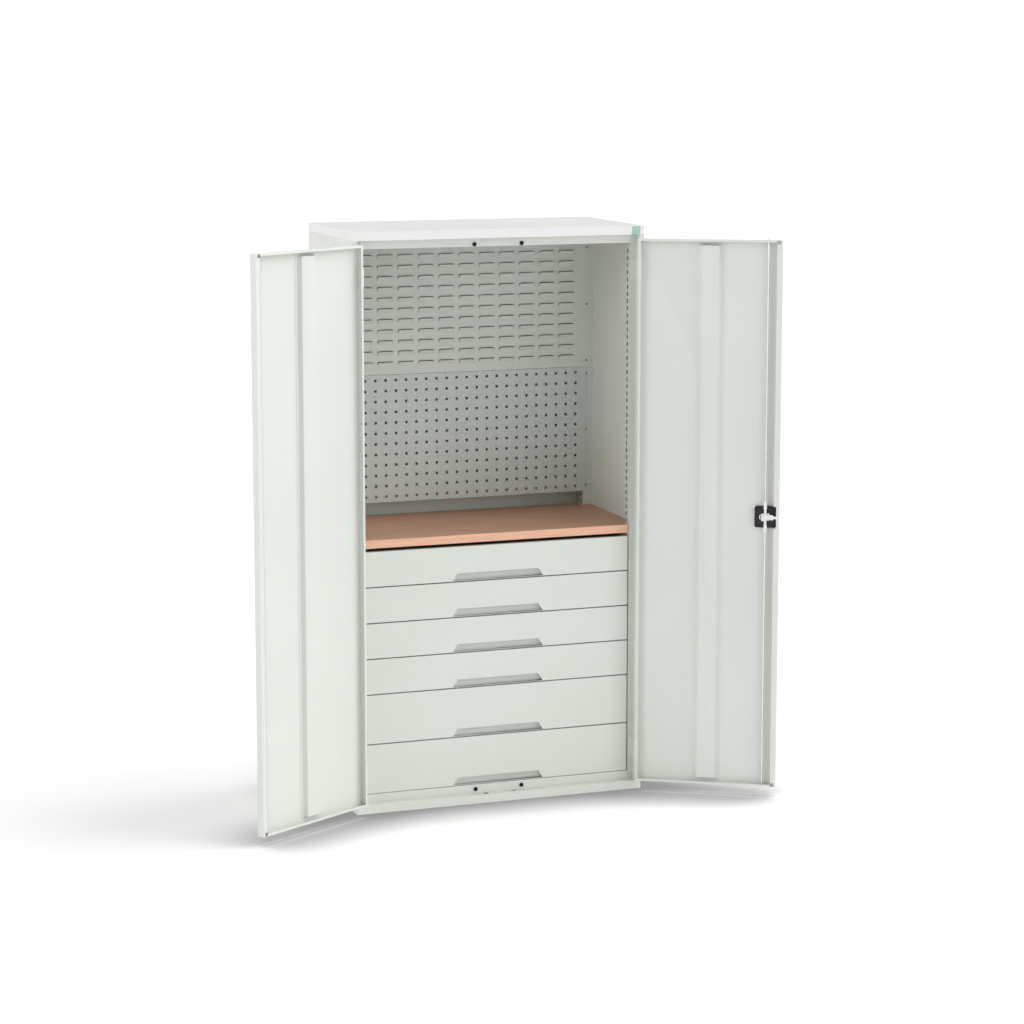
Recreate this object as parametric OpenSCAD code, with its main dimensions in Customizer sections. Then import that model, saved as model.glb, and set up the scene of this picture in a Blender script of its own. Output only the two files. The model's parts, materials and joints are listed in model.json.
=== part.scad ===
// Tall steel tool cabinet with two hinged doors. Behind the doors are six drawers on
// telescopic runners, a beech worktop, and a perforated and a louvred tool panel.
// The origin is on the floor, in the middle of the cabinet's footprint. The front faces -Y.
// At rest the doors stand open, the drawers are closed and the door lock is open.

/* [Cabinet] */
// Overall width of the carcass
body_w = 1050; // [950:1:1150]
// Overall depth of the carcass
body_d = 550; // [500:1:650]
// Overall height
body_h = 2000; // [1800:1:2150]
// Sheet thickness of the carcass
wall_t = 1.5; // [1:0.1:2]
// Height of the top fascia and of the plinth
band_h = 30; // [25:1:34]
// Distance of rails, uprights and panels behind the front plane
recess_d = 30; // [28:1:40]
// Width of the narrow face at the front of each side wall
return_w = 17.5; // [14:0.5:22]
// Width of the flanges folded inward round the top and the base
flange_w = 25; // [20:1:40]

/* [Uprights and rails] */
// Width of a front upright
upright_w = 20.5; // [18:0.5:24]
// Depth of an upright, front to back
upright_d = 40; // [34:1:50]
// Space between the rear uprights and the back wall
back_space = 25.5; // [15:0.5:35]
// Height of the top and bottom front rails
rail_h = 30; // [24:1:34]
// Depth of the top and bottom front rails
rail_d = 20; // [14:1:24]
// Vertical pitch of the slots in the uprights
slot_pitch = 25; // [20:1:40]
// Height of one slot
slot_h = 15; // [10:1:17]
// Width of one slot
slot_w = 12; // [8:1:16]
// Distance from the floor or the top to the nearest slot
slot_end = 85; // [60:1:110]

/* [Doors] */
// Gap between the closed doors
door_gap = 3; // [2:0.5:5]
// Gap under the doors
door_gap_bottom = 5; // [4:0.5:7]
// Gap over the doors, which leaves room to lift them off their pins
door_gap_top = 13; // [11:0.5:16]
// Distance of the doors' faces behind the front plane
door_set = 1; // [0.5:0.1:2]
// Sheet thickness of the doors
door_sheet = 1.2; // [0.8:0.1:1.5]
// Width of the folded lip on the free side
lip_free = 19.5; // [16:0.5:24]
// Width of the folded lip on the hinge side
lip_hinge = 9; // [6:0.5:12]
// Width of the folded lips at top and bottom
lip_end = 8; // [5:0.5:10]
// Side of the relief cuts at the free corners
relief = 12; // [8:1:14]
// Angle at which the doors stand open
door_open = 150; // [100:1:160]
// Width of the crown of the door stiffeners
stiffener_w = 60; // [40:1:80]
// Height of the stiffeners over the door skin
stiffener_h = 15; // [10:0.5:18]
// Distance of the stiffeners' ends from the doors' ends
stiffener_end = 21; // [16:1:40]

/* [Hinges] */
// Gap between a door's hinge side and the side wall
hinge_gap = 8; // [7:0.1:10]
// Radius of the hinge knuckles
knuckle_r = 3.7; // [3:0.05:3.8]
// Radius of the hinge pins
pin_r = 2; // [1.5:0.1:2.2]
// Length of a hinge along its pin
hinge_l = 66; // [40:1:90]
// Thickness of the hinge leaves
leaf_t = 1.2; // [1:0.1:1.4]
// Width of the leaf part on the door lip and on the upright
leaf_w = 12; // [8:0.5:15]
// Distance from a door's end to the middle of its hinge
hinge_end = 112; // [80:1:200]

/* [Bumpers] */
// Radius of the door bumpers
bumper_r = 7.5; // [5:0.5:9]
// Thickness of the door bumpers
bumper_h = 2.7; // [2.2:0.1:4]
// Distance of the bumpers from the cabinet's middle
bumper_x = 85; // [60:1:150]
// Distance from a door's end to the middle of its bumper
bumper_end = 9; // [6:0.5:12]

/* [Drawers] */
// Number of low drawers over the high ones, out of six
low_count = 4; // [2:1:4]
// Height of a low drawer's front
low_h = 125; // [120:1:130]
// Height of a high drawer's front
high_h = 175; // [165:1:178]
// Gap between drawer fronts
front_gap = 4; // [2:0.5:5]
// Gap between a drawer front and the uprights
front_side_gap = 3; // [2:0.5:5]
// Distance of the drawer fronts and the worktop behind the recess plane
front_set = 1; // [0.8:0.1:3]
// Depth of a drawer front
front_d = 20; // [18:1:24]
// Radius of the upright edges of a drawer front's face
front_r = 4; // [2:0.5:6]
// Corner radius of a drawer front, seen from the front
corner_r = 6; // [3:0.5:8]
// Sheet thickness of the drawers
drawer_sheet = 1.2; // [0.8:0.1:1.5]
// Gap between a closed drawer's box and the back wall
box_back = 46; // [40:1:110]
// Space between a drawer front's lower edge and the drawer box
box_lift = 10; // [6:1:16]
// Space between the drawer box and its front's upper edge
box_drop = 17; // [12:1:30]

/* [Drawer grips] */
// Width of a grip recess at its lower edge
grip_w = 332; // [200:1:400]
// Width lost at each end of a grip recess towards its upper edge
grip_slant = 17; // [5:1:30]
// Height of a grip recess
grip_h = 27; // [22:1:40]
// Depth of a grip recess
grip_d = 17; // [12:0.5:17]

/* [Runners] */
// Width of a runner between drawer box and upright
runner_w = 16.2; // [15.5:0.1:18]
// Height of the fixed runner member
runner_h = 42; // [36:1:46]
// Sheet thickness of the runner members
runner_t = 1.5; // [1:0.1:1.6]
// Clearance between nested runner members
runner_gap = 0.4; // [0.3:0.05:0.6]
// Height of the runners' middle over a drawer front's lower edge
runner_z = 55; // [45:1:60]
// Gap between the runner members and the back wall
runner_back = 29; // [28:1:44]

/* [Worktop] */
// Thickness of the worktop
top_t = 29; // [20:1:32]
// Gap between the uppermost drawer front and the worktop
top_gap = 10; // [8:1:14]
// Gap between the worktop and the uprights and walls
top_side_gap = 1.5; // [1:0.1:3]
// Size of the angles that carry the worktop
angle_w = 22; // [16:1:28]

/* [Tool panels] */
// Gap between the worktop and the lower panel
panel_lift = 51.5; // [30:0.5:80]
// Gap between a tool panel's side edge and the side wall
panel_side = 18.5; // [16:0.5:22]
// Gap between the tool panels
panel_gap = 1; // [0.5:0.1:3]
// Gap between the upper panel and the top rail
panel_drop = 23.5; // [15:0.5:30]
// Depth of the folded upper and lower panel edges
panel_fold = 12; // [6:1:14]
// Pitch of the square holes
hole_pitch = 38; // [34:1:44]
// Side of a square hole
hole_w = 9.2; // [7:0.1:12]
// Least distance of holes and louvres from a panel's side edges
pattern_side = 40; // [34:1:60]
// Least distance of the holes from a panel's upper and lower edges
hole_end = 12; // [8:1:20]
// Sideways pitch of the louvres
louvre_pitch_x = 76; // [70:1:80]
// Vertical pitch of the louvres
louvre_pitch_z = 38; // [34:1:42]
// Least distance of the louvres from a panel's upper and lower edges
louvre_end = 24; // [16:1:40]
// Width of a louvre's window
louvre_w = 58; // [40:1:62]
// Height of a louvre's window
louvre_h = 15; // [12:0.5:20]
// Radius of a louvre's upper corners
louvre_r = 6; // [3:0.5:6]
// Reach of a louvre in front of its panel
louvre_d = 6.5; // [4:0.5:9]
// Height of the open slot over a louvre
louvre_slot = 2.5; // [1.5:0.5:4]
// Distance of the panel screws from a panel's side edge
screw_edge = 8; // [6:0.5:10]
// Distance of the outer screws from a panel's upper and lower edges
screw_end = 23.5; // [16:0.5:40]
// Radius of a panel screw's shank
screw_r = 2.5; // [2:0.1:3]
// Radius of a panel screw's head
screw_head_r = 4.6; // [4:0.1:6]

/* [Lock] */
// Distance of the lock's axis from the door's free edge
lock_edge = 49.5; // [45:0.5:56]
// Side of the square lock case
case_w = 75; // [66:1:80]
// Depth of the lock case
case_d = 13; // [10:0.5:13]
// Corner radius of the lock case
case_r = 8; // [4:0.5:12]
// Radius of the lock spindle
spindle_r = 4; // [3:0.1:4.4]
// Radius of the crank that moves rods and bolt
crank_r = 9.5; // [9:0.1:10.5]
// Radius of the crank pins
crank_pin_r = 2; // [1.5:0.1:2.2]
// Thickness of the rod ends and of the crank disc
rod_end_t = 2; // [1.5:0.1:2.2]
// Width of a rod's flat end
rod_end_w = 8.4; // [7:0.1:9]
// Width of a rod's flat end beyond the reach of the other rod
rod_flat_w = 11; // [9:0.5:12]
// Length of a rod's flat end
rod_end_l = 60; // [45:1:80]
// Radius of the round lock rods
rod_r = 4; // [3:0.1:4.2]
// Reach of the upper rod over the door while unlocked
rod_proud_top = 10; // [4:0.5:10.5]
// Reach of the lower rod below the door while unlocked
rod_proud_bottom = 3; // [1:0.1:3.5]
// Thickness of the side bolt
bolt_t = 1.5; // [1.2:0.1:1.8]
// Height of the side bolt's narrow tip
bolt_tip_h = 9; // [7:0.5:14]
// Distance of the bolt tip from the door's free edge while unlocked
bolt_back = 2.5; // [1:0.1:4]
// Width of the rod slots in the ledges
rod_slot = 17; // [14:0.5:20]

/* [Door handle] */
// Length of the handle lever from its axis
lever_l = 108; // [80:1:130]
// Height of the lever
lever_h = 20; // [16:0.5:26]
// Thickness of the lever
lever_t = 11; // [8:0.5:16]
// Radius of the handle's round boss
boss_r = 17; // [14:0.5:20]
// Distance of the lever's outer face from the door
lever_reach = 30; // [24:1:40]
// Thickness of the plate under the handle
rose_t = 3; // [2:0.1:4]
// Radius of the plate under the handle
rose_r = 24; // [20:0.5:30]
// Radius of the lock cylinder's plug
plug_r = 7; // [5:0.1:9]

/* [Badge] */
// Width of the plain badge plate
badge_w = 30; // [20:1:40]
// Thickness of the plain badge plate
badge_t = 1.2; // [0.8:0.1:2]

/* [Hidden] */
$fn = 48;

// Colours
grey_body = "#E3E6E0";
grey_inner = "#CDD2CB";
zinc = "#C9CCCE";
black_part = "#1E1F20";
beech = "#C99A72";

// Planes, all in the cabinet's frame
half_w = body_w / 2;
front_y = -body_d / 2;
rear_y = body_d / 2;
recess_y = front_y + recess_d;
upright_x = half_w - return_w - upright_w;
wall_x = half_w - return_w;
rear_upright_y = rear_y - 2 * wall_t - back_space - upright_d;
panel_y = rear_upright_y - wall_t;
low_z = band_h;
high_z = body_h - band_h;

// Doors, in their closed place; x runs from the middle of the cabinet to the hinge side
door_x0 = door_gap / 2;
door_x1 = wall_x - hinge_gap;
door_y0 = front_y + door_set;
bumper_gap = 0.3;
door_y1 = recess_y - bumper_h - bumper_gap;
door_z0 = low_z + door_gap_bottom;
door_z1 = high_z - door_gap_top;
door_mid_x = (door_x0 + door_x1) / 2;
door_mid_z = (door_z0 + door_z1) / 2;
pivot_x = wall_x - hinge_gap / 2;
pivot_y = door_y0;
hinge_zs = [door_z0 + hinge_end, door_z1 - hinge_end];
pin_gap = 0.05;

// Drawers, counted from the top
drawer_n = 6;
function front_h(i) = i < low_count ? low_h : high_h;
function stack_h(i) = i < 0 ? 0 : front_h(i) + stack_h(i - 1);
drawer_top_z = low_z + rail_h + stack_h(drawer_n - 1);
function front_z1(i) = drawer_top_z - stack_h(i - 1) - front_gap / 2;
function front_z0(i) = drawer_top_z - stack_h(i) + front_gap / 2;
face_y = recess_y + front_set;
front_half = upright_x - front_side_gap;
box_half = upright_x - runner_w;
box_y = face_y + front_d;
box_d = rear_y - 2 * wall_t - box_back - box_y;
front_lap = 5;
runner_y = box_y + 2;
runner_l = rear_y - 2 * wall_t - runner_back - runner_y;
middle_h = runner_h - 2 * runner_t - 2 * runner_gap;
inner_h = middle_h - 2 * runner_t - 2 * runner_gap;
middle_web_x = upright_x - runner_t - runner_gap;

// Worktop
top_z0 = drawer_top_z + top_gap;
top_z1 = top_z0 + top_t;

// Tool panels, which share the height between the worktop and the top rail
function count_in(length, pitch, size) = floor((length - size) / pitch) + 1;
panel_w = 2 * (half_w - wall_t - panel_side);
panel_h = (high_z - rail_h - panel_drop - panel_gap - panel_lift - top_z1) / 2;
louvre_z0 = high_z - rail_h - panel_drop - panel_h;
perf_z0 = louvre_z0 - panel_gap - panel_h;
hole_cols = count_in(panel_w - 2 * pattern_side, hole_pitch, hole_w);
hole_rows = count_in(panel_h - 2 * hole_end, hole_pitch, hole_w);
louvre_cols = count_in(panel_w - 2 * pattern_side, louvre_pitch_x, louvre_w);
louvre_rows = count_in(panel_h - 2 * louvre_end, louvre_pitch_z, louvre_h);
louvre_gap = 1;
screw_x = panel_w / 2 - screw_edge;
screw_span = panel_h / 2 - screw_end;
screw_hole_r = screw_r + 0.1;

// Lock, in the closed right door's place
lock_x = door_x0 + lock_edge;
lock_z = door_mid_z;
skin_y = door_y0 + door_sheet;
case_y1 = skin_y + case_d;
layer_gap = 0.4;
rod_layer_y = case_y1 + layer_gap;
disc_y = rod_layer_y + rod_end_t + layer_gap;
bolt_y = disc_y + rod_end_t + layer_gap;
hub_top_y = bolt_y + bolt_t + layer_gap;
hub_head_t = 2.2;
hub_head_r = 8.5;
hub_thread_r = 2.5;
hub_thread_l = 8;
thread_bore_r = hub_thread_r + pin_gap;
crank_45 = crank_r * sqrt(0.5);
crank_clear = 0.25;
crank_slot = crank_pin_r + 0.3;
rod_y = rod_layer_y + rod_end_t / 2;
arm_gap = 0.6;
arm_x0 = spindle_r + arm_gap;
arm_x1 = crank_r + crank_pin_r + 3;
rod_lap = 6;
rod_bore_gap = 0.08;
bush_r = rod_r + 1.8;
bush_rim_t = 1.5;
disc_r = crank_r + crank_pin_r + 1.5;
tip_y = door_y1 + layer_gap;
plug_gap = 0.06;

// Building blocks -----------------------------------------------------------------

// A block between two corners
module block(a, b) {
    translate(a)
        cube([b[0] - a[0], b[1] - a[1], b[2] - a[2]]);
}

// The same shape on both sides of the cabinet
module both_sides() {
    children();
    mirror([1, 0, 0])
        children();
}

// An upright slab whose four vertical edges are rounded
module round_slab(a, b, r) {
    translate([0, 0, a[2]])
        linear_extrude(b[2] - a[2])
            union() {
                translate([a[0] + r, a[1]])
                    square([b[0] - a[0] - 2 * r, b[1] - a[1]]);
                translate([a[0], a[1] + r])
                    square([b[0] - a[0], b[1] - a[1] - 2 * r]);
                for (x = [a[0] + r, b[0] - r], y = [a[1] + r, b[1] - r])
                    translate([x, y])
                        circle(r);
            }
}

// A cylinder along +Y from y0 to y1
module rod_along_y(x, y0, y1, z, r) {
    translate([x, y0, z])
        rotate([-90, 0, 0])
            cylinder(h = y1 - y0, r = r);
}

// A plate in the XZ plane with rounded corners, from y0 to y1
module plate_xz(x0, z0, x1, z1, y0, y1, r) {
    translate([0, y1, 0])
        rotate([90, 0, 0])
            round_slab([x0, z0, 0], [x1, z1, y1 - y0], r);
}

// Puts a closed right door's piece where it stands at rest
module right_door_place() {
    translate([pivot_x, pivot_y, 0])
        rotate([0, 0, door_open])
            translate([-pivot_x, -pivot_y, 0])
                children();
}

// Puts a closed right door's piece on the left door, at rest
module left_door_place() {
    mirror([1, 0, 0])
        right_door_place()
            children();
}

// Carcass -------------------------------------------------------------------------

// A side wall with its front face, rebate wall and rear flange, on the +X side
module side_panel() {
    union() {
        block([wall_x, front_y, low_z], [half_w, front_y + wall_t, high_z]);
        block([wall_x, front_y, low_z], [wall_x + wall_t, recess_y + upright_d, high_z]);
        block([half_w - wall_t, front_y, low_z], [half_w, rear_y, high_z]);
        block([half_w - flange_w, rear_y - wall_t, low_z], [half_w, rear_y, high_z]);
    }
}

module side_panel_right() {
    color(grey_body)
        side_panel();
}

module side_panel_left() {
    color(grey_body)
        mirror([1, 0, 0])
            side_panel();
}

module back_wall() {
    color(grey_inner)
        block([wall_t - half_w, rear_y - 2 * wall_t, low_z], [half_w - wall_t, rear_y - wall_t, high_z]);
}

// The slots in the ledges that take the lock rods
module rod_slots(z0, z1) {
    for (side = [-1, 1])
        round_slab(
            [side * lock_x - rod_slot / 2, rod_y - rod_slot / 2, z0],
            [side * lock_x + rod_slot / 2, rod_y + rod_slot / 2, z1],
            rod_slot / 4
        );
}

// Top with skirts on all sides and a ledge over the doors
module top_cap() {
    color(grey_body)
        difference() {
            block([-half_w, front_y, high_z], [half_w, rear_y, body_h]);
            block(
                [wall_t - half_w, front_y + wall_t, high_z + wall_t],
                [half_w - wall_t, rear_y - wall_t, body_h - wall_t]
            );
            block(
                [flange_w - half_w, recess_y + rail_d, high_z - 1],
                [half_w - flange_w, rear_y - flange_w, high_z + wall_t + 1]
            );
            rod_slots(high_z - 1, high_z + wall_t + 1);
        }
}

// Base with a plinth on all sides, the cabinet's floor on top and flanges underneath
module base_tray() {
    color(grey_body)
        difference() {
            block([-half_w, front_y, 0], [half_w, rear_y, low_z]);
            block(
                [wall_t - half_w, front_y + wall_t, wall_t],
                [half_w - wall_t, rear_y - wall_t, low_z - wall_t]
            );
            for (side = [-1, 1])
                block(
                    [side > 0 ? flange_w : flange_w - half_w, front_y + flange_w, -1],
                    [side > 0 ? half_w - flange_w : -flange_w, rear_y - flange_w, wall_t + 1]
                );
            rod_slots(low_z - wall_t - 1, low_z + 1);
        }
}

// Row of slots through the inner face of an upright on the +X side
module upright_slots(y) {
    for (z = [slot_end : slot_pitch : body_h - slot_end])
        block(
            [upright_x - 1, y - slot_w / 2, z - slot_h / 2],
            [upright_x + wall_t + 1, y + slot_w / 2, z + slot_h / 2]
        );
}

// Box section between two corners, open at both ends
module tube_section(a, b) {
    difference() {
        block(a, b);
        block([a[0] + wall_t, a[1] + wall_t, a[2] - 1], [b[0] - wall_t, b[1] - wall_t, b[2] + 1]);
    }
}

module front_uprights() {
    color(grey_inner)
        both_sides()
            difference() {
                tube_section([upright_x, recess_y, low_z], [wall_x, recess_y + upright_d, high_z]);
                upright_slots(recess_y + upright_d * 0.7);
            }
}

module rear_uprights() {
    color(grey_inner)
        both_sides()
            difference() {
                tube_section(
                    [upright_x, rear_upright_y, low_z],
                    [half_w - wall_t, rear_upright_y + upright_d, high_z]
                );
                upright_slots(rear_upright_y + upright_d / 2);
                for (z = panel_screw_zs())
                    rod_along_y(screw_x, rear_upright_y - 1, rear_upright_y + wall_t + 1, z, screw_hole_r);
            }
}

// A front rail of C section, open to the back
module front_rail(z0) {
    difference() {
        block([-upright_x, recess_y, z0], [upright_x, recess_y + rail_d, z0 + rail_h]);
        block(
            [-upright_x - 1, recess_y + wall_t, z0 + wall_t],
            [upright_x + 1, recess_y + rail_d + 1, z0 + rail_h - wall_t]
        );
    }
}

module front_rails() {
    color(grey_body) {
        front_rail(low_z);
        front_rail(high_z - rail_h);
    }
}

module door_bumpers() {
    color(black_part)
        for (side = [-1, 1], z = [door_z0 + bumper_end, door_z1 - bumper_end])
            rod_along_y(side * bumper_x, recess_y - bumper_h, recess_y, z, bumper_r);
}

module badge_plate() {
    badge_x1 = half_w - return_w + 2;
    badge_edge = 1.5;
    color("#9CC3AE")
        plate_xz(
            badge_x1 - badge_w, high_z + badge_edge, badge_x1, body_h - badge_edge,
            front_y - badge_t, front_y, 2
        );
}

// Hinges --------------------------------------------------------------------------

// Knuckle of one hinge leaf around the pivot, with the bore for its pin
module knuckle_bore(z0, z1) {
    translate([pivot_x, pivot_y, z0])
        cylinder(h = z1 - z0, r = pin_r + pin_gap);
}

// The carcass leaf: a plate on the upright, an arm along the rebate and the lower knuckle
module carcass_hinge_leaf(z) {
    z0 = z - hinge_l / 2;
    z1 = z + hinge_l / 2;
    zk = z - pin_gap * 2;
    plate_x = door_x1 + leaf_t - leaf_w;
    difference() {
        union() {
            block([plate_x, recess_y - leaf_t, z0], [wall_x, recess_y, z1]);
            block([wall_x - leaf_t, pivot_y, z0], [wall_x, recess_y, zk]);
            translate([pivot_x, pivot_y, z0])
                cylinder(h = zk - z0, r = knuckle_r);
        }
        knuckle_bore(z0 - 1, z1 + 1);
    }
}

module carcass_hinge_leaves() {
    color(grey_body)
        both_sides()
            for (z = hinge_zs)
                carcass_hinge_leaf(z);
}

module hinge_pins() {
    color(zinc)
        both_sides()
            for (z = hinge_zs)
                translate([pivot_x, pivot_y, z - hinge_l / 2])
                    cylinder(h = hinge_l - 4, r = pin_r);
}

// The door leaf: a plate round the door's hinge corner and the upper knuckle
module door_hinge_leaf(z) {
    z0 = z - hinge_l / 2;
    z1 = z + hinge_l / 2;
    zk = z + pin_gap * 2;
    lip_y = door_y1 + leaf_t;
    difference() {
        union() {
            block([door_x1 + leaf_t - leaf_w, door_y1, z0], [door_x1 + leaf_t, lip_y, z1]);
            block([door_x1, pivot_y + knuckle_r + 2.5, z0], [door_x1 + leaf_t, lip_y, z1]);
            block([door_x1, pivot_y, zk], [door_x1 + leaf_t, lip_y, z1]);
            translate([pivot_x, pivot_y, zk])
                cylinder(h = z1 - zk, r = knuckle_r);
        }
        knuckle_bore(z0 - 1, z1 + 1);
    }
}

module closed_door_hinge_leaves() {
    for (z = hinge_zs)
        door_hinge_leaf(z);
}

module door_left_hinge_leaves() {
    color(grey_body)
        left_door_place()
            closed_door_hinge_leaves();
}

module door_right_hinge_leaves() {
    color(grey_body)
        right_door_place()
            closed_door_hinge_leaves();
}

// Doors ---------------------------------------------------------------------------

// A door skin folded to a shallow tray, open to the inside, with a lip on every edge
module closed_door_skin() {
    relief_end = 2;
    difference() {
        block([door_x0, door_y0, door_z0], [door_x1, door_y1, door_z1]);
        block(
            [door_x0 + door_sheet, door_y0 + door_sheet, door_z0 + door_sheet],
            [door_x1 - door_sheet, door_y1 - door_sheet, door_z1 - door_sheet]
        );
        block(
            [door_x0 + lip_free, door_y1 - door_sheet - 1, door_z0 + lip_end],
            [door_x1 - lip_hinge, door_y1 + 1, door_z1 - lip_end]
        );
        for (z = [door_z0 + relief_end, door_z1 - relief_end - relief])
            block(
                [door_x0 + lip_free - relief, door_y1 - door_sheet - 1, z],
                [door_x0 + lip_free + 1, door_y1 + 1, z + relief]
            );
    }
}

module closed_door_stiffener() {
    slope = 8;
    foot = 10;
    w = stiffener_w / 2;
    h = stiffener_h;
    t = door_sheet;
    translate([door_mid_x, skin_y, door_z0 + stiffener_end])
        linear_extrude(door_z1 - door_z0 - 2 * stiffener_end)
            polygon([
                [-w - slope - foot, 0], [-w - slope - foot, t], [-w - slope, t], [-w, h], [w, h],
                [w + slope, t], [w + slope + foot, t], [w + slope + foot, 0],
                [w + slope - t, 0], [w - t, h - t], [t - w, h - t], [t - w - slope, 0]
            ]);
}

module door_left_skin() {
    color(grey_body)
        left_door_place()
            closed_door_skin();
}

module door_right_skin() {
    notch = case_w / 2 + 1;
    color(grey_body)
        right_door_place()
            difference() {
                closed_door_skin();
                rod_along_y(lock_x, door_y0 - 1, skin_y + 1, lock_z, spindle_r + 1);
                for (z = [door_z0 - 1, door_z1 - door_sheet - 1])
                    translate([lock_x, rod_y, z])
                        cylinder(h = door_sheet + 2, r = bush_r + pin_gap);
                block(
                    [lock_x - notch, door_y1 - door_sheet - 1, lock_z - notch],
                    [lock_x, door_y1 + 1, lock_z + notch]
                );
            }
}

module door_left_stiffener() {
    color(grey_body)
        left_door_place()
            closed_door_stiffener();
}

module door_right_stiffener() {
    color(grey_body)
        right_door_place()
            closed_door_stiffener();
}

// Lock ----------------------------------------------------------------------------

module lock_case() {
    color(black_part)
        right_door_place()
            difference() {
                plate_xz(
                    lock_x - case_w / 2, lock_z - case_w / 2, lock_x + case_w / 2, lock_z + case_w / 2,
                    skin_y, case_y1, case_r
                );
                rod_along_y(lock_x, skin_y - 1, case_y1 + 1, lock_z, spindle_r + pin_gap);
            }
}

// Crank disc with two pins for the rods and one for the side bolt
module lock_hub() {
    color(zinc)
        right_door_place()
            difference() {
                union() {
                    rod_along_y(lock_x, disc_y, disc_y + rod_end_t, lock_z, disc_r);
                    rod_along_y(lock_x, disc_y, hub_top_y, lock_z, spindle_r);
                    rod_along_y(
                        lock_x - crank_45, rod_layer_y, disc_y + rod_end_t, lock_z - crank_45, crank_pin_r
                    );
                    rod_along_y(
                        lock_x + crank_45, rod_layer_y, disc_y + rod_end_t, lock_z + crank_45, crank_pin_r
                    );
                    rod_along_y(
                        lock_x + crank_45, disc_y, bolt_y + bolt_t, lock_z - crank_45, crank_pin_r
                    );
                }
                rod_along_y(lock_x, disc_y - 1, hub_top_y + 1, lock_z, thread_bore_r);
            }
}

module hub_screw() {
    color(zinc)
        right_door_place() {
            rod_along_y(lock_x, disc_y - hub_thread_l, hub_top_y, lock_z, hub_thread_r);
            rod_along_y(lock_x, hub_top_y, hub_top_y + hub_head_t, lock_z, hub_head_r);
        }
}

// The upper rod's flat end, drawn in the door's plane about the lock's axis. The arm beside
// the spindle holds the slot that the crank pin runs in. The free edge is at -X.
module upper_rod_end() {
    pin_z = -crank_45;
    head_z = spindle_r + 1;
    head_h = 8;
    foot_h = 3;
    flat_z = head_z + head_h + 2 * crank_45 + 1;
    difference() {
        union() {
            block([-rod_end_w / 2, 0, head_z], [rod_end_w / 2, rod_end_t, rod_end_l]);
            block([-rod_flat_w / 2, 0, flat_z], [rod_flat_w / 2, rod_end_t, rod_end_l]);
            block([-arm_x1, 0, head_z], [rod_end_w / 2, rod_end_t, head_z + head_h]);
            block([-arm_x1, 0, pin_z - crank_slot - foot_h], [-arm_x0, rod_end_t, head_z + head_h]);
        }
        block(
            [-crank_r - crank_slot, -1, pin_z - crank_slot - crank_clear],
            [-crank_45 + crank_slot, rod_end_t + 1, pin_z + crank_slot + crank_clear]
        );
    }
}

module upper_lock_rod() {
    color(zinc)
        right_door_place() {
            translate([lock_x, rod_layer_y, lock_z])
                upper_rod_end();
            translate([lock_x, rod_y, lock_z + rod_end_l - rod_lap])
                cylinder(h = door_z1 + rod_proud_top - lock_z - rod_end_l + rod_lap, r = rod_r);
        }
}

module lower_lock_rod() {
    color(zinc)
        right_door_place() {
            translate([lock_x, rod_layer_y, lock_z])
                rotate([0, 180, 0])
                    upper_rod_end();
            translate([lock_x, rod_y, door_z0 - rod_proud_bottom])
                cylinder(h = lock_z - rod_end_l + rod_lap - door_z0 + rod_proud_bottom, r = rod_r);
        }
}

// Sliding bolt: a plate over the crank disc, a step and a tip that runs over the door's lip
module side_bolt() {
    fold_x = 22;
    foot_w = 7;
    edge_w = 2.5;
    upper_z = 8.5;
    tip_x = lock_edge - bolt_back;
    stroke = 2 * crank_45;
    shaft_half = spindle_r + 0.3;
    shaft_x = shaft_half + stroke;
    low_edge = crank_r + crank_slot + edge_w;
    pin_slot_x = crank_slot + crank_clear;
    bolt_y1 = bolt_y + bolt_t;
    tip_y1 = tip_y + bolt_t;
    color("#EDEEF0")
        right_door_place()
            translate([lock_x, 0, lock_z])
                difference() {
                    union() {
                        block([-fold_x, bolt_y, -upper_z], [crank_45 + pin_slot_x + edge_w, bolt_y1, upper_z]);
                        block(
                            [crank_45 - pin_slot_x - edge_w, bolt_y, -low_edge],
                            [crank_45 + pin_slot_x + edge_w, bolt_y1, 0]
                        );
                        block(
                            [0, bolt_y, -shaft_half - edge_w],
                            [shaft_x + edge_w, bolt_y1, shaft_half + edge_w]
                        );
                        block([-fold_x, bolt_y, -upper_z], [bolt_t - fold_x, tip_y1, upper_z]);
                        block([-fold_x - foot_w, tip_y, -upper_z], [bolt_t - fold_x, tip_y1, upper_z]);
                        block([-tip_x, tip_y, -bolt_tip_h / 2], [-fold_x, tip_y1, bolt_tip_h / 2]);
                    }
                    block([-shaft_half, bolt_y - 1, -shaft_half], [shaft_x, bolt_y1 + 1, shaft_half]);
                    block(
                        [crank_45 - pin_slot_x, bolt_y - 1, -crank_r - crank_slot],
                        [crank_45 + pin_slot_x, bolt_y1 + 1, 0]
                    );
                }
}

// Flanged bushes that guide the rods through the door's upper and lower flanges
module rod_bush(z_flange, z_rim) {
    difference() {
        union() {
            translate([lock_x, rod_y, z_rim])
                cylinder(h = bush_rim_t, r = bush_r + 1.6);
            translate([lock_x, rod_y, z_flange])
                cylinder(h = door_sheet, r = bush_r);
        }
        translate([lock_x, rod_y, min(z_flange, z_rim) - 1])
            cylinder(h = door_sheet + bush_rim_t + 2, r = rod_r + rod_bore_gap);
    }
}

module rod_bushes() {
    color(black_part)
        right_door_place() {
            rod_bush(door_z0, door_z0 + door_sheet);
            rod_bush(door_z1 - door_sheet, door_z1 - door_sheet - bush_rim_t);
        }
}

// Handle --------------------------------------------------------------------------

module handle_rose() {
    color(black_part)
        right_door_place()
            difference() {
                rod_along_y(lock_x, door_y0 - rose_t, door_y0, lock_z, rose_r);
                rod_along_y(lock_x, door_y0 - rose_t - 1, door_y0 + 1, lock_z, spindle_r + pin_gap);
            }
}

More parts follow.
